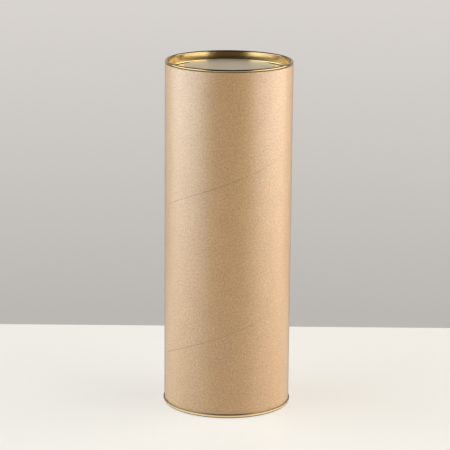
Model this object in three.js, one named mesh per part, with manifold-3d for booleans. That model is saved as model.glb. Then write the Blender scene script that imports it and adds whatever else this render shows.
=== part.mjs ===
// A round paperboard tube box: a spiral-wound kraft tube, a pressed tin lid that plugs into its top
// and a pressed tin bottom rolled round its lower edge.
// Millimetres, +Z up. The origin is at the centre of the foot ring that the box stands on.

import * as THREE from 'three';
import * as BufferGeometryUtils from 'three/addons/utils/BufferGeometryUtils.js';
import Module from 'manifold-3d';

// Driving dimensions of the whole box.
const tubeOuterRadius = 60;
const tubeWall = 2;
const overallHeight = 331.4;

// The tin sheet, and the clearance that it keeps to the board.
const tinGauge = 0.3;
const boardClearance = 0.3;

// The lid's curled rim, as half its width and half its height outside.
const curlHalfWidth = 1.4;
const curlHalfHeight = 1.2;
const curlTurn = 280;

// The lid's raised panel, the channel round it and the plug wall. Depths are below the top of the curl.
// The panel's radius is where its shoulder would meet the riser if neither were rounded.
const lidPanelDepth = 5.6;
const lidPanelRadius = 42.6;
const lidRiserLean = 1;
const lidShoulderRadius = 1.5;
const lidChannelDepth = 9.5;
const lidChannelCornerRadius = 1.5;

// The bottom end: its panel, and the rolled seam round the tube's lower edge.
const basePanelHeight = 6;
const baseCornerRadius = 1.8;
const seamHeight = 3.8;
const seamBulge = 0.6;
const footFlat = 0.8;
const footCurveHeight = 1.75;
const tubeLift = 1.5;

// The spiral joint of the tube's outer ply, a shallow groove with a round floor.
const plyPitch = 144.5;
const plySeamHeightAtFront = 81;
const plySeamDepth = 0.25;
const plySeamWidth = 0.9;

// How finely round forms are divided.
const sidesAround = 60;
const plySeamStepsPerTurn = 48;
const plySeamSides = 8;

// Sizes that follow from those above.
const boreRadius = tubeOuterRadius - tubeWall;
const plugWallRadius = boreRadius - boardClearance - tinGauge / 2;
const curlWidthAtMiddle = curlHalfWidth - tinGauge / 2;
const curlHeightAtMiddle = curlHalfHeight - tinGauge / 2;
const curlCentreRadius = plugWallRadius + curlWidthAtMiddle;
const curlCentreHeight = overallHeight - curlHalfHeight;
const tubeTop = overallHeight - 2 * curlHalfHeight - boardClearance;
const tubeLength = tubeTop - tubeLift;

const kraftPaper = new THREE.MeshStandardMaterial({ color: 0xc79a6b, roughness: 0.8, metalness: 0 });
const lidTin = new THREE.MeshStandardMaterial({ color: 0xd9b45c, roughness: 0.25, metalness: 0.9 });
const baseTin = lidTin.clone();

const radians = THREE.MathUtils.degToRad;

// Points along an arc of an ellipse in the section plane. Angles are in degrees.
function arc(centreX, centreY, radiusX, radiusY, from, to, steps) {
  const curve = new THREE.EllipseCurve(
    centreX, centreY, radiusX, radiusY, radians(from), radians(to), to < from, 0,
  );
  return curve.getPoints(steps);
}

// A line through the corners in the section plane, with each inner corner rounded to its radius.
function roundedLine(corners, radii, stepsPerCorner) {
  const points = [corners[0]];
  radii.forEach((radius, index) => {
    const corner = corners[index + 1];
    const back = corners[index].clone().sub(corner).normalize();
    const ahead = corners[index + 2].clone().sub(corner).normalize();
    const halfAngle = Math.acos(back.dot(ahead)) / 2;
    const tangentLength = radius / Math.tan(halfAngle);
    const towardsCentre = back.clone().add(ahead).normalize();
    const centre = corner.clone().addScaledVector(towardsCentre, radius / Math.sin(halfAngle));
    const spoke = corner.clone().addScaledVector(back, tangentLength).sub(centre);
    const sweep = (Math.PI - 2 * halfAngle) * Math.sign(back.cross(ahead));
    for (let step = 0; step <= stepsPerCorner; step += 1) {
      const turn = -sweep * step / stepsPerCorner;
      points.push(spoke.clone().rotateAround(new THREE.Vector2(), turn).add(centre));
    }
  });
  points.push(corners[corners.length - 1]);
  return points;
}

// Drops a point that lies on the one before it, where two stretches of a line meet.
function withoutRepeats(points) {
  const shortest = 1e-4;
  return points.filter((point, index) => index === 0 || point.distanceTo(points[index - 1]) > shortest);
}

// Thickens the centre line of a pressed sheet to its gauge. The line starts on the axis and runs outwards.
// The result goes out along the sheet's right side and comes back along its left side.
function sheetSection(centreLine, gauge) {
  const line = withoutRepeats(centreLine);
  const right = [];
  const left = [];
  line.forEach((point, index) => {
    const before = line[Math.max(index - 1, 0)];
    const after = line[Math.min(index + 1, line.length - 1)];
    const along = after.clone().sub(before).normalize();
    if (index === 0) along.set(1, 0);
    const across = new THREE.Vector2(-along.y, along.x).multiplyScalar(gauge / 2);
    right.push(point.clone().sub(across));
    left.push(point.clone().add(across));
  });
  return [...right, ...left.reverse()];
}

// Turns a section round the upright axis.
function turned(section) {
  const geometry = new THREE.LatheGeometry(section, sidesAround);
  geometry.rotateX(Math.PI / 2);
  return geometry;
}

// The spiral line that the ply's edge follows. It rises to the right as seen from outside.
class PlyEdge extends THREE.Curve {
  constructor(radius, lowest, highest) {
    super();
    this.radius = radius;
    this.lowest = lowest;
    this.highest = highest;
  }

  getPoint(t, target = new THREE.Vector3()) {
    const height = this.lowest + (this.highest - this.lowest) * t;
    const angle = 2 * Math.PI * (height - plySeamHeightAtFront) / plyPitch;
    return target.set(this.radius * Math.sin(angle), -this.radius * Math.cos(angle), height);
  }
}

// The wound tube: a ring of board with square-cut ends.
function tubeGeometry() {
  const section = [
    new THREE.Vector2(boreRadius, tubeLift),
    new THREE.Vector2(tubeOuterRadius, tubeLift),
    new THREE.Vector2(tubeOuterRadius, tubeTop),
    new THREE.Vector2(boreRadius, tubeTop),
    new THREE.Vector2(boreRadius, tubeLift),
  ];
  return turned(section);
}

// The round rod that leaves the ply's joint in the tube's face. Its radius comes from the groove's
// width and depth, and it runs out past both ends of the tube.
function plySeamTool() {
  const halfWidth = plySeamWidth / 2;
  const rodRadius = (halfWidth * halfWidth + plySeamDepth * plySeamDepth) / (2 * plySeamDepth);
  const centreRadius = tubeOuterRadius - plySeamDepth + rodRadius;
  const runOut = 2 * plySeamWidth;
  const turns = (tubeLength + 2 * runOut) / plyPitch;
  const outline = new THREE.Shape();
  outline.absarc(0, 0, rodRadius, 0, 2 * Math.PI, false);
  const path = new PlyEdge(centreRadius, tubeLift - runOut, tubeTop + runOut);
  return new THREE.ExtrudeGeometry(outline, {
    steps: Math.ceil(turns * plySeamStepsPerTurn),
    curveSegments: plySeamSides,
    bevelEnabled: false,
    extrudePath: path,
  });
}

// The lid's centre line, from the middle of the panel out to the cut edge inside the curl.
function lidCentreLine() {
  const panelHeight = overallHeight - lidPanelDepth - tinGauge / 2;
  const channelHeight = overallHeight - lidChannelDepth - tinGauge / 2;
  const corners = [
    new THREE.Vector2(0, panelHeight),
    new THREE.Vector2(lidPanelRadius, panelHeight),
    new THREE.Vector2(lidPanelRadius + lidRiserLean, channelHeight),
    new THREE.Vector2(plugWallRadius, channelHeight),
    new THREE.Vector2(plugWallRadius, curlCentreHeight),
  ];
  const radii = [lidShoulderRadius, lidChannelCornerRadius, lidChannelCornerRadius];
  const curl = arc(
    curlCentreRadius, curlCentreHeight,
    curlWidthAtMiddle, curlHeightAtMiddle, 180, 180 - curlTurn, 10,
  );
  return [...roundedLine(corners, radii, 4), ...curl];
}

// The bottom end's centre line, from the middle of the panel, down inside the bore, round the tube's
// edge and up its outside, where the seam bulges before it closes on the board.
function baseCentreLine() {
  const panelHeight = basePanelHeight + tinGauge / 2;
  const footHeight = tinGauge / 2;
  const legEndRadius = tubeOuterRadius + boardClearance + tinGauge / 2;
  const bulgeRadius = legEndRadius + seamBulge / 2;
  const footCurveWidth = (bulgeRadius - plugWallRadius - footFlat) / 2;
  const bulgeHeight = footHeight + footCurveHeight;
  const corner = arc(
    plugWallRadius - baseCornerRadius, panelHeight - baseCornerRadius,
    baseCornerRadius, baseCornerRadius, 90, 0, 4,
  );
  const insideTurn = arc(
    plugWallRadius + footCurveWidth, bulgeHeight,
    footCurveWidth, footCurveHeight, 180, 270, 4,
  );
  const outsideTurn = arc(
    bulgeRadius - footCurveWidth, bulgeHeight,
    footCurveWidth, footCurveHeight, 270, 360, 4,
  );
  const leg = arc(
    legEndRadius, bulgeHeight,
    bulgeRadius - legEndRadius, seamHeight - bulgeHeight, 0, 80, 3,
  );
  return [new THREE.Vector2(0, panelHeight), ...corner, ...insideTurn, ...outsideTurn, ...leg];
}

const wasm = await Module();
wasm.setup();

// Closes a geometry's shared vertices, so that it can be cut.
function solidFrom(geometry) {
  const bare = geometry.index ? geometry.toNonIndexed() : geometry.clone();
  bare.deleteAttribute('normal');
  bare.deleteAttribute('uv');
  const closed = BufferGeometryUtils.mergeVertices(bare, 1e-4);
  return new wasm.Manifold(new wasm.Mesh({
    numProp: 3,
    vertProperties: closed.attributes.position.array,
    triVerts: new Uint32Array(closed.index.array),
  }));
}

function geometryFrom(solid) {
  const mesh = solid.getMesh();
  const geometry = new THREE.BufferGeometry();
  geometry.setAttribute('position', new THREE.BufferAttribute(mesh.vertProperties, 3));
  geometry.setIndex(new THREE.BufferAttribute(mesh.triVerts, 1));
  geometry.computeVertexNormals();
  return geometry;
}

function addPiece(parent, name, geometry, material) {
  const piece = new THREE.Mesh(geometry, material);
  piece.name = name;
  parent.add(piece);
}

const tubeBox = new THREE.Group();
const woundTube = solidFrom(tubeGeometry()).subtract(solidFrom(plySeamTool()));
addPiece(tubeBox, 'tube_body', geometryFrom(woundTube), kraftPaper);
addPiece(tubeBox, 'plug_lid', turned(sheetSection(lidCentreLine(), tinGauge)), lidTin);
addPiece(tubeBox, 'bottom_end', turned(sheetSection(baseCentreLine(), tinGauge)), baseTin);

export default tubeBox;
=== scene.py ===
import math

import bmesh
import bpy
from mathutils import Matrix, Vector


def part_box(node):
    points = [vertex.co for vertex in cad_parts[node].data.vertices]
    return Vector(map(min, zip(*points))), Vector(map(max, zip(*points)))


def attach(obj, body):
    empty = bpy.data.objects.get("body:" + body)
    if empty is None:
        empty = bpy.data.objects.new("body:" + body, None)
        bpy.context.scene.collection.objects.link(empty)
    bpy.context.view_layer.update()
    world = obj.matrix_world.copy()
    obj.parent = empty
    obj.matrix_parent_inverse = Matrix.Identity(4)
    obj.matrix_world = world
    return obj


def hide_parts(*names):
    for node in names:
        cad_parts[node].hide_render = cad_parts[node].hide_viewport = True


# A tall round box: a spiral-wound kraft tube, a gold tin lid plugged into its top and a gold tin
# bottom rolled round its lower edge. Metres, in the frame's axes.

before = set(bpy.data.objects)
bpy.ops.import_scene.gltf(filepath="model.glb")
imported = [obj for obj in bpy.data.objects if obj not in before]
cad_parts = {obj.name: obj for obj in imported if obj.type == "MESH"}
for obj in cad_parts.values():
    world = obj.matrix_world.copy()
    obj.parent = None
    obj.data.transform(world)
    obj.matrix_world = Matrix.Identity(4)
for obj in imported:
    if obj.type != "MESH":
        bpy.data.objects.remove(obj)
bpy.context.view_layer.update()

MM = 0.001

# Sizes that the frame gives.
tube_low, tube_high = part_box("tube_body")
tube_radius = tube_high.x
tube_bottom = tube_low.z
tube_top = tube_high.z
lid_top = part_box("plug_lid")[1].z

# Sizes of the sheet and the board, which the frame's boxes don't give.
tube_wall = 2.0 * MM
board_lip = 0.12 * MM
tin_gauge = 0.3 * MM
board_clearance = 0.3 * MM
curl_half_width = 1.4 * MM
curl_half_height = 1.2 * MM
curl_turn = 280
lid_panel_depth = 5.6 * MM
lid_panel_radius = 42.6 * MM
lid_riser_lean = 1.0 * MM
lid_shoulder_radius = 1.5 * MM
lid_channel_depth = 9.5 * MM
lid_channel_corner_radius = 1.5 * MM
base_panel_height = 6.0 * MM
base_corner_radius = 1.8 * MM
seam_height = 3.8 * MM
seam_bulge = 0.6 * MM
foot_flat = 0.8 * MM
foot_curve_height = 1.75 * MM

# The outer ply's spiral joint. Its dark core is the part that no light reaches.
ply_pitch = 144.5 * MM
ply_seam_height = 81 * MM
ply_seam_depth = 0.16 * MM
ply_seam_half_width = 0.24 * MM
ply_seam_core = 0.10 * MM

# The joint gapes and closes by turns along the ply: the middle of a gaping stretch, and how far it
# is to the next one.
gaping_middle = -35 * MM
gaping_repeat = 220 * MM

# How finely the round forms are divided.
TURNED_COLUMNS = 256
TUBE_COLUMNS = 240

bore_radius = tube_radius - tube_wall
ply_slope = math.atan(ply_pitch / (2 * math.pi * tube_radius))
plug_wall_radius = bore_radius - board_clearance - tin_gauge / 2


def linear(red, green, blue):
    """A screen colour, 0 to 255, as the linear colour that a shader takes."""
    channels = []
    for value in (red, green, blue):
        share = value / 255
        channels.append(share / 12.92 if share <= 0.04045 else ((share + 0.055) / 1.055) ** 2.4)
    return (*channels, 1.0)


# Shader building


class Graph:
    """Adds nodes to one shader tree. An input is given as a value or as the socket that feeds it."""

    def __init__(self, tree):
        self.tree = tree

    def node(self, kind, inputs=None, **settings):
        made = self.tree.nodes.new(kind)
        for name, value in settings.items():
            setattr(made, name, value)
        for name, value in (inputs or {}).items():
            self.feed(made.inputs[name], value)
        return made

    def feed(self, socket, value):
        if isinstance(value, bpy.types.NodeSocket):
            self.tree.links.new(value, socket)
        else:
            socket.default_value = value

    def math(self, operation, *values):
        made = self.tree.nodes.new("ShaderNodeMath")
        made.operation = operation
        for index, value in enumerate(values):
            self.feed(made.inputs[index], value)
        return made.outputs[0]

    def vector(self, x, y, z=0.0):
        return self.node("ShaderNodeCombineXYZ", {"X": x, "Y": y, "Z": z}).outputs["Vector"]

    def noise(self, vector, scale, detail=2.0, roughness=0.5, distortion=0.0):
        made = self.node(
            "ShaderNodeTexNoise",
            {"Vector": vector, "Scale": scale, "Detail": detail, "Roughness": roughness,
             "Distortion": distortion},
        )
        return made.outputs["Fac"]

    def span(self, value, low, high, to_low=0.0, to_high=1.0):
        """Moves a value from one span to another, and stops at its ends."""
        made = self.node(
            "ShaderNodeMapRange",
            {"Value": value, "From Min": low, "From Max": high, "To Min": to_low, "To Max": to_high},
        )
        return made.outputs["Result"]

    def axis_distance(self, place):
        """How far a point lies from the box's upright axis."""
        axes = self.node("ShaderNodeSeparateXYZ", {"Vector": place})
        level = self.vector(axes.outputs["X"], axes.outputs["Y"])
        return self.node("ShaderNodeVectorMath", {0: level}, operation="LENGTH").outputs["Value"]

    def blend(self, share, first, second):
        made = self.tree.nodes.new("ShaderNodeMix")
        made.data_type = "RGBA"
        self.feed(made.inputs["Factor"], share)
        self.feed(made.inputs[6], first)
        self.feed(made.inputs[7], second)
        return made.outputs[2]


def new_group(name, inputs, outputs):
    """An empty shader group. Returns it with its graph, its input sockets and its output node."""
    group = bpy.data.node_groups.new(name, "ShaderNodeTree")
    for label, value in inputs.items():
        socket = group.interface.new_socket(label, in_out="INPUT", socket_type="NodeSocketFloat")
        socket.default_value = value
    for label in outputs:
        group.interface.new_socket(label, in_out="OUTPUT", socket_type="NodeSocketFloat")
    graph = Graph(group)
    entry = group.nodes.new("NodeGroupInput")
    leave = group.nodes.new("NodeGroupOutput")
    return group, graph, entry.outputs, leave


def ply_coordinates_group():
    """Where a point lies on the wound ply: along it, across it, and from its nearest edge, in metres."""
    group, graph, given, leave = new_group(
        "ply_coordinates",
        {"Radius": tube_radius, "Pitch": ply_pitch, "Seam Height": ply_seam_height},
        ("Along", "Across", "From Seam"),
    )
    place = graph.node("ShaderNodeTexCoord").outputs["Object"]
    axes = graph.node("ShaderNodeSeparateXYZ", {"Vector": place})
    forward = graph.math("MULTIPLY", axes.outputs["Y"], -1.0)
    angle = graph.math("ARCTAN2", axes.outputs["X"], forward)
    turn = graph.math("DIVIDE", angle, 2 * math.pi)
    height = graph.math("SUBTRACT", axes.outputs["Z"], given["Seam Height"])
    plies = graph.math("SUBTRACT", graph.math("DIVIDE", height, given["Pitch"]), turn)
    winding = graph.math("FLOOR", plies)
    share = graph.math("SUBTRACT", plies, winding)
    around = graph.math("MULTIPLY", given["Radius"], 2 * math.pi)
    slope = graph.math("ARCTANGENT", graph.math("DIVIDE", given["Pitch"], around))
    rise = graph.math("COSINE", slope)
    width = graph.math("MULTIPLY", given["Pitch"], rise)
    along = graph.math("DIVIDE", graph.math("MULTIPLY", graph.math("ADD", turn, winding), around), rise)
    across = graph.math("MULTIPLY", share, width)
    nearest = graph.math("MINIMUM", share, graph.math("SUBTRACT", 1.0, share))
    graph.feed(leave.inputs["Along"], along)
    graph.feed(leave.inputs["Across"], across)
    graph.feed(leave.inputs["From Seam"], graph.math("MULTIPLY", nearest, width))
    return group


def paper_grain_group():
    """The look of kraft paper: soft clouds, fine grain, long pale fibres and small dark flecks."""
    group, graph, given, leave = new_group(
        "paper_grain",
        {"Along": 0.0, "Across": 0.0, "Depth": 0.0, "Clouds": 1.0, "Grain": 1.0},
        ("Shade", "Fibres", "Flecks", "Height"),
    )
    place = graph.vector(given["Along"], given["Across"], given["Depth"])
    clouds = graph.noise(place, scale=55.0, detail=4.0, roughness=0.6)
    grain = graph.noise(place, scale=620.0, detail=3.0, roughness=0.7)
    fine = graph.noise(place, scale=2600.0, detail=2.0, roughness=0.6)

    def fibre_layer(turn, long_scale, cross_scale):
        """Streaks that run at an angle, in degrees, to the ply."""
        lean = math.radians(turn)
        along = graph.math(
            "ADD",
            graph.math("MULTIPLY", given["Along"], math.cos(lean)),
            graph.math("MULTIPLY", given["Across"], math.sin(lean)),
        )
        across = graph.math(
            "SUBTRACT",
            graph.math("MULTIPLY", given["Across"], math.cos(lean)),
            graph.math("MULTIPLY", given["Along"], math.sin(lean)),
        )
        streaks = graph.vector(
            graph.math("MULTIPLY", along, long_scale),
            graph.math("MULTIPLY", across, cross_scale),
            float(turn),
        )
        return graph.span(graph.noise(streaks, scale=1.0, detail=2.0, distortion=0.6), 0.58, 0.72)

    fibres = fibre_layer(4, 170.0, 1500.0)
    for turn in (38, -31, 79):
        fibres = graph.math("MAXIMUM", fibres, fibre_layer(turn, 210.0, 1700.0))
    flecks = graph.span(graph.noise(place, scale=780.0, detail=1.0, roughness=0.4), 0.67, 0.75)
    cloud_shade = graph.math("MULTIPLY", graph.math("SUBTRACT", clouds, 0.5), given["Clouds"])
    grain_shade = graph.math("MULTIPLY", graph.math("SUBTRACT", grain, 0.5), given["Grain"])
    graph.feed(leave.inputs["Shade"], graph.math("ADD", cloud_shade, grain_shade))
    graph.feed(leave.inputs["Fibres"], fibres)
    graph.feed(leave.inputs["Flecks"], flecks)
    rough_height = graph.math("ADD", graph.math("MULTIPLY", grain, 0.6), graph.math("MULTIPLY", fine, 0.4))
    graph.feed(leave.inputs["Height"], graph.math("ADD", rough_height, graph.math("MULTIPLY", fibres, 0.35)))
    return group


def tin_skin_group():
    """Lacquered tinplate: rolling lines, cloudy gloss, tiny pits and a few hair scratches."""
    group, graph, given, leave = new_group(
        "tin_skin",
        {"Gloss Change": 1.0, "Scratches": 1.0},
        ("Roughness Change", "Stain", "Height"),
    )
    place = graph.node("ShaderNodeTexCoord").outputs["Object"]
    axes = graph.node("ShaderNodeSeparateXYZ", {"Vector": place})
    rolled = graph.vector(
        graph.math("MULTIPLY", axes.outputs["X"], 45.0),
        graph.math("MULTIPLY", axes.outputs["Y"], 2600.0),
        graph.math("MULTIPLY", axes.outputs["Z"], 900.0),
    )
    lines = graph.noise(rolled, scale=1.0, detail=3.0, roughness=0.6)
    clouds = graph.noise(place, scale=70.0, detail=3.0, roughness=0.6)
    pits = graph.noise(place, scale=1500.0, detail=2.0, roughness=0.6)
    turned_place = graph.vector(
        graph.math("MULTIPLY", graph.math("ADD", axes.outputs["X"], axes.outputs["Y"]), 35.0),
        graph.math("MULTIPLY", graph.math("SUBTRACT", axes.outputs["X"], axes.outputs["Y"]), 2200.0),
        graph.math("MULTIPLY", axes.outputs["Z"], 60.0),
    )
    scratches = graph.span(graph.noise(turned_place, scale=1.0, detail=1.0, distortion=1.5), 0.76, 0.80)
    scratches = graph.math("MULTIPLY", scratches, given["Scratches"])
    gloss = graph.math("MULTIPLY", graph.math("SUBTRACT", clouds, 0.5), 0.16)
    gloss = graph.math("ADD", gloss, graph.math("MULTIPLY", graph.math("SUBTRACT", lines, 0.5), 0.05))
    gloss = graph.math("MULTIPLY", gloss, given["Gloss Change"])
    graph.feed(
        leave.inputs["Roughness Change"],
        graph.math("ADD", gloss, graph.math("MULTIPLY", scratches, 0.12)),
    )
    graph.feed(leave.inputs["Stain"], graph.span(clouds, 0.35, 0.75))
    height = graph.math("ADD", graph.math("MULTIPLY", lines, 0.5), graph.math("MULTIPLY", pits, 0.5))
    graph.feed(leave.inputs["Height"], graph.math("SUBTRACT", height, scratches))
    return group


PLY_COORDINATES = ply_coordinates_group()
PAPER_GRAIN = paper_grain_group()
TIN_SKIN = tin_skin_group()


def new_material(name):
    """A material with its graph and its Principled shader."""
    material = bpy.data.materials.new(name)
    material.use_nodes = True
    return material, Graph(material.node_tree), material.node_tree.nodes["Principled BSDF"]


def paper_colour(graph, grain, base, pale, dark):
    """Base paper, lighter along its fibres and darker in its flecks, with the grain's shade over it."""
    colour = graph.blend(graph.math("MULTIPLY", grain.outputs["Fibres"], 0.30), base, pale)
    colour = graph.blend(graph.math("MULTIPLY", grain.outputs["Flecks"], 0.60), colour, dark)
    shade = graph.math("ADD", grain.outputs["Shade"], 1.0)
    tone = graph.node("ShaderNodeHueSaturation", {"Color": colour, "Value": shade})
    return tone.outputs["Color"]


def kraft_material(name, radius, pitch, base, pale, dark, seam_dark, seam_shade):
    """Kraft paper wound in a spiral, with its joint a thin dark line that fades in and out."""
    material, graph, shader = new_material(name)
    ply = graph.node("ShaderNodeGroup", node_tree=PLY_COORDINATES)
    ply.inputs["Radius"].default_value = radius
    ply.inputs["Pitch"].default_value = pitch
    grain = graph.node("ShaderNodeGroup", node_tree=PAPER_GRAIN)
    graph.feed(grain.inputs["Along"], ply.outputs["Along"])
    graph.feed(grain.inputs["Across"], ply.outputs["Across"])
    grain.inputs["Clouds"].default_value = 0.26
    grain.inputs["Grain"].default_value = 1.4
    colour = paper_colour(graph, grain, base, pale, dark)
    near = graph.span(ply.outputs["From Seam"], ply_seam_core, ply_seam_half_width, 1.0, 0.0)
    past_middle = graph.math("SUBTRACT", ply.outputs["Along"], gaping_middle)
    gaping = graph.math("COSINE", graph.math("MULTIPLY", past_middle, 2 * math.pi / gaping_repeat))
    near = graph.math("MULTIPLY", near, graph.span(gaping, 0.0, 0.6, 0.6, 1.0))
    colour = graph.blend(graph.math("MULTIPLY", near, seam_shade), colour, seam_dark)
    bump = graph.node(
        "ShaderNodeBump",
        {"Strength": 0.5, "Distance": 0.06 * MM, "Height": grain.outputs["Height"]},
    )
    graph.feed(shader.inputs["Base Color"], colour)
    graph.feed(shader.inputs["Normal"], bump.outputs["Normal"])
    gloss = graph.span(grain.outputs["Shade"], -0.3, 0.3, 0.48, 0.40)
    graph.feed(shader.inputs["Roughness"], gloss)
    shader.inputs["IOR"].default_value = 1.6
    shader.inputs["Specular IOR Level"].default_value = 0.9
    shader.inputs["Coat Weight"].default_value = 0.5
    shader.inputs["Coat Roughness"].default_value = 0.38
    shader.inputs["Sheen Weight"].default_value = 1.0
    shader.inputs["Sheen Roughness"].default_value = 0.35
    return material


def board_edge_material():
    """The cut edge of the board, where its glued plies show as fine rings."""
    material, graph, shader = new_material("cut_board")
    place = graph.node("ShaderNodeTexCoord").outputs["Object"]
    radius = graph.axis_distance(place)
    wander = graph.noise(place, scale=260.0, detail=2.0)
    rings = graph.math("ADD", graph.math("MULTIPLY", radius, 2 * math.pi / (0.4 * MM)), wander)
    layers = graph.span(graph.math("SINE", rings), 0.2, 1.0)
    fluff = graph.noise(place, scale=1800.0, detail=3.0, roughness=0.7)
    pulp = graph.blend(graph.math("MULTIPLY", layers, 0.55), linear(196, 164, 126), linear(122, 92, 62))
    pulp = graph.blend(graph.span(fluff, 0.35, 0.7, 0.0, 0.4), pulp, linear(222, 200, 168))
    height = graph.math("ADD", graph.math("MULTIPLY", layers, -0.5), fluff)
    bump = graph.node("ShaderNodeBump", {"Strength": 0.7, "Distance": 0.1 * MM, "Height": height})
    graph.feed(shader.inputs["Base Color"], pulp)
    graph.feed(shader.inputs["Normal"], bump.outputs["Normal"])
    shader.inputs["Roughness"].default_value = 0.9
    return material


# Painted shade in the tin's folds and gaps: how dark, how much shows, and how much duller the tin is there.
PAINTED_SHADE_COLOUR = (0.10, 0.055, 0.02, 1)
PAINTED_SHADE_SHARE = 0.85
PAINTED_SHADE_ROUGHNESS = 0.2


def tin_material(name, gold, stain, roughness):
    """Bright tinplate under gold lacquer. Returns what each end puts its own marks on as well."""
    material, graph, shader = new_material(name)
    skin = graph.node("ShaderNodeGroup", node_tree=TIN_SKIN)
    colour = graph.blend(graph.math("MULTIPLY", skin.outputs["Stain"], 0.35), gold, stain)
    bump = graph.node(
        "ShaderNodeBump",
        {"Strength": 0.04, "Distance": 0.01 * MM, "Height": skin.outputs["Height"]},
    )
    place = graph.node("ShaderNodeTexCoord").outputs["Object"]
    height = graph.node("ShaderNodeSeparateXYZ", {"Vector": place}).outputs["Z"]
    roughness = graph.math("ADD", skin.outputs["Roughness Change"], roughness)
    graph.feed(shader.inputs["Normal"], bump.outputs["Normal"])
    shader.inputs["Metallic"].default_value = 1.0
    return material, graph, shader, place, height, colour, roughness


def add_painted_shade(graph, shader, painted_shade_mask, colour, roughness):
    """Gives the shader the tin's colour and roughness, with painted shade on them where its mask says."""
    # The mask marks painted shade, a dark brown blended into the colour, not dirt.
    colour = graph.blend(graph.math("MULTIPLY", painted_shade_mask, PAINTED_SHADE_SHARE), colour, PAINTED_SHADE_COLOUR)
    roughness = graph.math("ADD", roughness, graph.math("MULTIPLY", painted_shade_mask, PAINTED_SHADE_ROUGHNESS))
    graph.feed(shader.inputs["Base Color"], colour)
    graph.feed(shader.inputs["Roughness"], roughness)


def lid_material():
    """The lid's tin. Its panel is paler than the rest, its whole floor is a little duller, and the
    curl has a painted dark reflection over its crown and painted shade where it meets the board."""
    material, graph, shader, place, height, colour, roughness = tin_material(
        "gold_tin_lid", (0.60, 0.47, 0.26, 1), (0.55, 0.42, 0.22, 1), 0.18,
    )
    panel_colour = (0.86, 0.75, 0.53, 1)
    floor_roughness = 0.17
    painted_crown_reflection_colour = (0.20, 0.12, 0.05, 1)
    painted_crown_reflection_share = 0.7
    from_axis = graph.axis_distance(place)
    on_panel = graph.span(from_axis, lid_panel_radius - 1.2 * MM, lid_panel_radius - 0.4 * MM, 1.0, 0.0)
    colour = graph.blend(on_panel, colour, panel_colour)
    on_floor = graph.span(from_axis, plug_wall_radius - 1.6 * MM, plug_wall_radius - 0.8 * MM, 1.0, 0.0)
    roughness = graph.math("ADD", roughness, graph.math("MULTIPLY", on_floor, floor_roughness))
    # Painted dark reflection: the curl's crown is blended towards a dark brown.
    on_crown = graph.span(height, lid_top - 1.3 * MM, lid_top - 1.0 * MM)
    colour = graph.blend(graph.math("MULTIPLY", on_crown, painted_crown_reflection_share), colour, painted_crown_reflection_colour)
    # Painted shade: the outer curl is darkened low down, where it stands over the board.
    low_on_curl = graph.span(height, lid_top - 2.1 * MM, lid_top - 1.8 * MM, 1.0, 0.0)
    outside = graph.span(from_axis, tube_radius - 1.0 * MM, tube_radius - 0.6 * MM)
    add_painted_shade(graph, shader, graph.math("MULTIPLY", low_on_curl, outside), colour, roughness)
    return material


def base_material():
    """The bottom end's tin, with painted shade where its seam closes on the board and at its foot."""
    material, graph, shader, place, height, colour, roughness = tin_material(
        "gold_tin_base", (0.80, 0.64, 0.40, 1), (0.72, 0.55, 0.32, 1), 0.20,
    )
    # Painted shade at the foot and at the top of the seam, where it closes on the board.
    at_foot = graph.span(height, 0.9 * MM, 1.4 * MM, 1.0, 0.0)
    at_closure = graph.span(height, seam_height - 1.4 * MM, seam_height - 0.9 * MM)
    add_painted_shade(graph, shader, graph.math("MAXIMUM", at_foot, at_closure), colour, roughness)
    return material


# Meshes


def arc(centre, radii, start, end, steps):
    """Points along an arc of an ellipse in the section plane. Angles are in degrees."""
    points = []
    for step in range(steps + 1):
        angle = math.radians(start + (end - start) * step / steps)
        points.append((centre[0] + radii[0] * math.cos(angle), centre[1] + radii[1] * math.sin(angle)))
    return points


def rounded_line(corners, radii, steps):
    """A line through the corners, with each inner corner rounded to its radius."""
    points = [tuple(corners[0])]
    for before, corner, after, radius in zip(corners, corners[1:], corners[2:], radii):
        corner = Vector(corner)
        back = (Vector(before) - corner).normalized()
        ahead = (Vector(after) - corner).normalized()
        half = back.angle(ahead) / 2
        centre = corner + (back + ahead).normalized() * (radius / math.sin(half))
        start = corner + back * (radius / math.tan(half)) - centre
        end = corner + ahead * (radius / math.tan(half)) - centre
        sweep = start.angle_signed(end)
        for step in range(steps + 1):
            turn = Matrix.Rotation(-sweep * step / steps, 2)
            points.append(tuple(centre + turn @ start))
    points.append(tuple(corners[-1]))
    return points


def without_repeats(points):
    """Drops a point that lies on the one before it, where two stretches meet."""
    kept = [points[0]]
    for point in points[1:]:
        if math.dist(point, kept[-1]) > 1e-7:
            kept.append(point)
    return kept


def sheet_section(centre_line, gauge):
    """Thickens a pressed sheet's centre line, out from the axis on one side and back on the other."""
    line = without_repeats(centre_line)
    under = []
    upper = []
    for index, point in enumerate(line):
        before = line[max(index - 1, 0)]
        after = line[min(index + 1, len(line) - 1)]
        along = Vector((after[0] - before[0], after[1] - before[1])).normalized()
        if index == 0:
            along = Vector((1, 0))
        across = Vector((-along.y, along.x)) * (gauge / 2)
        under.append((point[0] - across.x, point[1] - across.y))
        upper.append((point[0] + across.x, point[1] + across.y))
    return under + upper[::-1]


def soften(mesh, sharp_angle):
    """Smooth shading with an edge kept wherever two faces turn by more than an angle, in degrees."""
    work = bmesh.new()
    work.from_mesh(mesh)
    bmesh.ops.recalc_face_normals(work, faces=work.faces)
    for face in work.faces:
        face.smooth = True
    for edge in work.edges:
        edge.smooth = edge.calc_face_angle(0.0) < math.radians(sharp_angle)
    work.to_mesh(mesh)
    work.free()


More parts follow.
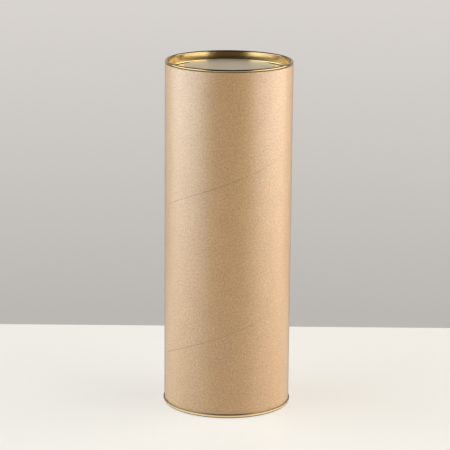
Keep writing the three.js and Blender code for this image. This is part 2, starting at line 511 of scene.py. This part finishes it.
def turned_piece(name, section, material):
    """Turns a section that starts and ends on the axis into a closed piece."""
    mesh = bpy.data.meshes.new(name)
    work = bmesh.new()
    rings = []
    for radius, height in section:
        if radius < 1e-9:
            rings.append([work.verts.new((0, 0, height))])
            continue
        ring = []
        for column in range(TURNED_COLUMNS):
            angle = 2 * math.pi * column / TURNED_COLUMNS
            ring.append(work.verts.new((radius * math.sin(angle), -radius * math.cos(angle), height)))
        rings.append(ring)
    for lower, upper in zip(rings, rings[1:]):
        for column in range(TURNED_COLUMNS):
            after = (column + 1) % TURNED_COLUMNS
            corners = [
                lower[column % len(lower)], lower[after % len(lower)],
                upper[after % len(upper)], upper[column % len(upper)],
            ]
            work.faces.new(list(dict.fromkeys(corners)))
    work.to_mesh(mesh)
    work.free()
    soften(mesh, 35)
    mesh.materials.append(material)
    piece = bpy.data.objects.new(name, mesh)
    bpy.context.scene.collection.objects.link(piece)
    return piece


def seam_dip(angle, height):
    """How far the outer ply's joint dips below the tube's face at a point."""
    turn = (height - ply_seam_height) / ply_pitch - angle / (2 * math.pi)
    nearest = abs(turn - round(turn)) * ply_pitch * math.cos(ply_slope)
    if nearest >= ply_seam_half_width:
        return 0.0
    share = 1 - nearest / ply_seam_half_width
    return ply_seam_depth * share * share


def tube_rows(angle):
    """Heights up the tube's face at one angle, crowded where the ply's joint crosses it."""
    first = math.floor((tube_bottom - ply_seam_height) / ply_pitch) - 1
    last = math.ceil((tube_top - ply_seam_height) / ply_pitch) + 1
    beside_joint = (-2.2, -1.05, -0.6, -0.25, 0.0, 0.25, 0.6, 1.05, 2.2)
    between_joints = 10
    heights = []
    for winding in range(first, last + 1):
        joint = ply_seam_height + ply_pitch * (winding + angle / (2 * math.pi))
        for offset in beside_joint:
            heights.append(joint + offset * ply_seam_half_width)
        for step in range(1, between_joints):
            heights.append(joint + ply_pitch * step / between_joints)
    return [min(max(height, tube_bottom + board_lip), tube_top - board_lip) for height in heights]


def wound_tube(name, face_material, edge_material, liner_material):
    """The board tube: its wound face with the ply's joint, its cut edges and its liner."""
    face_part, edge_part, liner_part = 0, 1, 2
    inner_rows = 12
    mesh = bpy.data.meshes.new(name)
    work = bmesh.new()
    columns = []
    for column in range(TUBE_COLUMNS + 1):
        angle = 2 * math.pi * column / TUBE_COLUMNS
        section = []
        for height in tube_rows(angle):
            section.append((tube_radius - seam_dip(angle, height), height, face_part))
        section.append((section[-1][0] - board_lip, tube_top, edge_part))
        section.append((bore_radius + board_lip, tube_top, edge_part))
        for row in range(inner_rows + 1):
            height = tube_top - board_lip - (tube_top - tube_bottom - 2 * board_lip) * row / inner_rows
            section.append((bore_radius, height, liner_part))
        section.append((bore_radius + board_lip, tube_bottom, edge_part))
        section.append((section[0][0] - board_lip, tube_bottom, edge_part))
        ring = []
        for radius, height, part in section:
            vertex = work.verts.new((radius * math.sin(angle), -radius * math.cos(angle), height))
            ring.append((vertex, part))
        columns.append(ring)
    for left, right in zip(columns, columns[1:]):
        for row in range(len(left)):
            above = (row + 1) % len(left)
            face = work.faces.new((left[row][0], right[row][0], right[above][0], left[above][0]))
            same_part = left[row][1] == left[above][1]
            face.material_index = left[row][1] if same_part else edge_part
    bmesh.ops.remove_doubles(work, verts=work.verts, dist=2e-7)
    bmesh.ops.dissolve_degenerate(work, edges=work.edges, dist=1e-7)
    work.to_mesh(mesh)
    work.free()
    soften(mesh, 40)
    for material in (face_material, edge_material, liner_material):
        mesh.materials.append(material)
    piece = bpy.data.objects.new(name, mesh)
    bpy.context.scene.collection.objects.link(piece)
    return piece


def lid_centre_line():
    """From the middle of the panel, over its shoulder, through the channel, up the plug wall and
    round the curl to the cut edge inside it."""
    panel_height = lid_top - lid_panel_depth - tin_gauge / 2
    channel_height = lid_top - lid_channel_depth - tin_gauge / 2
    curl_middle = lid_top - curl_half_height
    pressed = rounded_line(
        (
            (0.0, panel_height),
            (lid_panel_radius, panel_height),
            (lid_panel_radius + lid_riser_lean, channel_height),
            (plug_wall_radius, channel_height),
            (plug_wall_radius, curl_middle),
        ),
        (lid_shoulder_radius, lid_channel_corner_radius, lid_channel_corner_radius),
        8,
    )
    curl_width = curl_half_width - tin_gauge / 2
    curl_height = curl_half_height - tin_gauge / 2
    curl = arc(
        (plug_wall_radius + curl_width, curl_middle), (curl_width, curl_height), 180, 180 - curl_turn, 32,
    )
    return pressed + curl


def base_centre_line():
    """From the middle of the panel, down inside the bore, round the tube's edge and up its outside."""
    panel_height = base_panel_height + tin_gauge / 2
    leg_radius = tube_radius + board_clearance + tin_gauge / 2
    bulge_radius = leg_radius + seam_bulge / 2
    foot_curve = (bulge_radius - plug_wall_radius - foot_flat) / 2
    bulge_height = tin_gauge / 2 + foot_curve_height
    corner = arc(
        (plug_wall_radius - base_corner_radius, panel_height - base_corner_radius),
        (base_corner_radius, base_corner_radius), 90, 0, 12,
    )
    inside = arc(
        (plug_wall_radius + foot_curve, bulge_height), (foot_curve, foot_curve_height), 180, 270, 12,
    )
    outside = arc(
        (bulge_radius - foot_curve, bulge_height), (foot_curve, foot_curve_height), 270, 360, 12,
    )
    leg = arc(
        (leg_radius, bulge_height), (bulge_radius - leg_radius, seam_height - bulge_height), 0, 80, 8,
    )
    return [(0.0, panel_height)] + corner + inside + outside + leg


# The box

kraft_face = kraft_material(
    "kraft_face", tube_radius, ply_pitch,
    base=linear(201, 156, 104), pale=linear(226, 190, 144), dark=linear(112, 72, 38),
    seam_dark=linear(80, 50, 26), seam_shade=0.85,
)
kraft_liner = kraft_material(
    "kraft_liner", bore_radius, -ply_pitch,
    base=linear(198, 164, 124), pale=linear(222, 194, 158), dark=linear(118, 80, 46),
    seam_dark=linear(90, 60, 34), seam_shade=0.6,
)
cut_board = board_edge_material()
lid_gold = lid_material()
base_gold = base_material()

tube = wound_tube("wound_kraft_tube", kraft_face, cut_board, kraft_liner)
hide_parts("tube_body")
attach(tube, "container")

lid = turned_piece("curled_tin_lid", sheet_section(lid_centre_line(), tin_gauge), lid_gold)
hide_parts("plug_lid")
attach(lid, "lid")

base = turned_piece("rolled_tin_base", sheet_section(base_centre_line(), tin_gauge), base_gold)
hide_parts("bottom_end")
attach(base, "container")

# The table, the lamps and the world

TABLE_BACK = 0.253
TABLE_FRONT = -1.35
TABLE_HALF_WIDTH = 1.1
TABLE_THICKNESS = 0.03
TABLE_ROUNDING = 0.002

SILK_DISTANCE = 1.25
SILK_HEIGHT = 0.50
SILK_WIDTH = 2.10
SILK_TALL = 1.30


def pale_table():
    """A plain pale table top whose back edge shows behind the box."""
    material, graph, shader = new_material("pale_table")
    shader.inputs["Base Color"].default_value = linear(172, 168, 160)
    shader.inputs["Roughness"].default_value = 0.55
    rays = graph.node("ShaderNodeLightPath")
    shown = graph.math("MAXIMUM", rays.outputs["Is Camera Ray"], rays.outputs["Is Glossy Ray"])
    shader.inputs["Emission Color"].default_value = linear(255, 252, 246)
    graph.feed(shader.inputs["Emission Strength"], graph.math("MULTIPLY", shown, 0.56))
    mesh = bpy.data.meshes.new("table_top")
    work = bmesh.new()
    bmesh.ops.create_cube(work, size=1.0)
    centre = Vector((0, (TABLE_BACK + TABLE_FRONT) / 2, -TABLE_THICKNESS / 2))
    size = Vector((2 * TABLE_HALF_WIDTH, TABLE_BACK - TABLE_FRONT, TABLE_THICKNESS))
    for vertex in work.verts:
        vertex.co = Vector((vertex.co.x * size.x, vertex.co.y * size.y, vertex.co.z * size.z)) + centre
    bmesh.ops.bevel(work, geom=work.edges[:], offset=TABLE_ROUNDING, segments=3, affect="EDGES")
    work.to_mesh(mesh)
    work.free()
    mesh.materials.append(material)
    table = bpy.data.objects.new("table_top", mesh)
    bpy.context.scene.collection.objects.link(table)


def silk(name, azimuth, power, colour):
    """A large lamp that faces the box. Azimuth is in degrees from the camera's side, to the right."""
    turn = math.radians(azimuth)
    place = Vector((SILK_DISTANCE * math.sin(turn), -SILK_DISTANCE * math.cos(turn), SILK_HEIGHT))
    data = bpy.data.lights.new(name, "AREA")
    data.shape = "RECTANGLE"
    data.size = SILK_WIDTH
    data.size_y = SILK_TALL
    data.energy = power
    data.color = colour
    lamp = bpy.data.objects.new(name, data)
    lamp.location = place
    aim = Vector((0, 0, tube_top * 0.6)) - place
    lamp.rotation_euler = aim.to_track_quat("-Z", "Y").to_euler()
    lamp.visible_camera = False
    bpy.context.scene.collection.objects.link(lamp)


def studio_world():
    """A grey wall behind for the camera and for gloss. Gloss also sees a dim warm room with a paler
    ceiling, and everything else gets a faint warm fill."""
    world = bpy.data.worlds.new("studio")
    bpy.context.scene.world = world
    world.use_nodes = True
    graph = Graph(world.node_tree)
    graph.tree.nodes.clear()
    way = graph.node("ShaderNodeTexCoord").outputs["Generated"]
    axes = graph.node("ShaderNodeSeparateXYZ", {"Vector": way})
    wall_foot = linear(187, 184, 179)
    wall_top = linear(216, 211, 207)
    dark_room = (0.020, 0.012, 0.007, 1)
    lift = graph.span(axes.outputs["Z"], -0.272, -0.132)
    wall = graph.blend(lift, wall_foot, wall_top)
    behind = graph.span(axes.outputs["Y"], 0.45, 0.85)
    low = graph.span(axes.outputs["Z"], 0.32, 0.55, 1.0, 0.0)
    room = graph.blend(graph.math("MULTIPLY", behind, low), dark_room, wall)
    ceiling = graph.span(axes.outputs["Z"], 0.78, 0.95, 0.0, 0.20)
    room = graph.blend(ceiling, room, wall)
    rays = graph.node("ShaderNodeLightPath")
    fill = graph.node("ShaderNodeBackground", {"Color": (1.0, 0.80, 0.60, 1), "Strength": 0.05})
    seen = graph.node("ShaderNodeBackground", {"Color": wall, "Strength": 1.0})
    mirrored = graph.node("ShaderNodeBackground", {"Color": room, "Strength": 1.0})
    shiny = graph.math("MAXIMUM", rays.outputs["Is Glossy Ray"], rays.outputs["Is Transmission Ray"])
    first = graph.node("ShaderNodeMixShader", {"Fac": shiny})
    graph.feed(first.inputs[1], fill.outputs["Background"])
    graph.feed(first.inputs[2], mirrored.outputs["Background"])
    second = graph.node("ShaderNodeMixShader", {"Fac": rays.outputs["Is Camera Ray"]})
    graph.feed(second.inputs[1], first.outputs["Shader"])
    graph.feed(second.inputs[2], seen.outputs["Background"])
    leave = graph.node("ShaderNodeOutputWorld")
    graph.feed(leave.inputs["Surface"], second.outputs["Shader"])


pale_table()
silk("left_silk", -81, 31, (0.85, 0.93, 1.0))
silk("right_silk", 84, 31, (1.0, 0.98, 0.92))
studio_world()

# The camera stands where the photograph was taken from.

CAMERA_DISTANCE = 1.9525
CAMERA_HEIGHT = 0.6396
CAMERA_PITCH = math.radians(13.446)
CAMERA_YAW = math.radians(-0.078)
CAMERA_ROLL = math.radians(0.491)
CAMERA_LENS = 168.95


def photo_camera():
    """The camera, turned by its pitch, yaw and roll."""
    data = bpy.data.cameras.new("photo_camera")
    data.sensor_width = 36
    data.lens = CAMERA_LENS
    camera = bpy.data.objects.new("photo_camera", data)
    bpy.context.scene.collection.objects.link(camera)
    forward = Vector((
        math.sin(CAMERA_YAW) * math.cos(CAMERA_PITCH),
        math.cos(CAMERA_YAW) * math.cos(CAMERA_PITCH),
        -math.sin(CAMERA_PITCH),
    ))
    level = Vector((math.cos(CAMERA_YAW), -math.sin(CAMERA_YAW), 0))
    upright = level.cross(forward)
    right = math.cos(CAMERA_ROLL) * level + math.sin(CAMERA_ROLL) * upright
    up = math.cos(CAMERA_ROLL) * upright - math.sin(CAMERA_ROLL) * level
    turn = Matrix((right, up, -forward)).transposed().to_4x4()
    camera.matrix_world = Matrix.Translation((0, -CAMERA_DISTANCE, CAMERA_HEIGHT)) @ turn
    bpy.context.scene.camera = camera


photo_camera()
bpy.context.scene.view_settings.view_transform = "Standard"
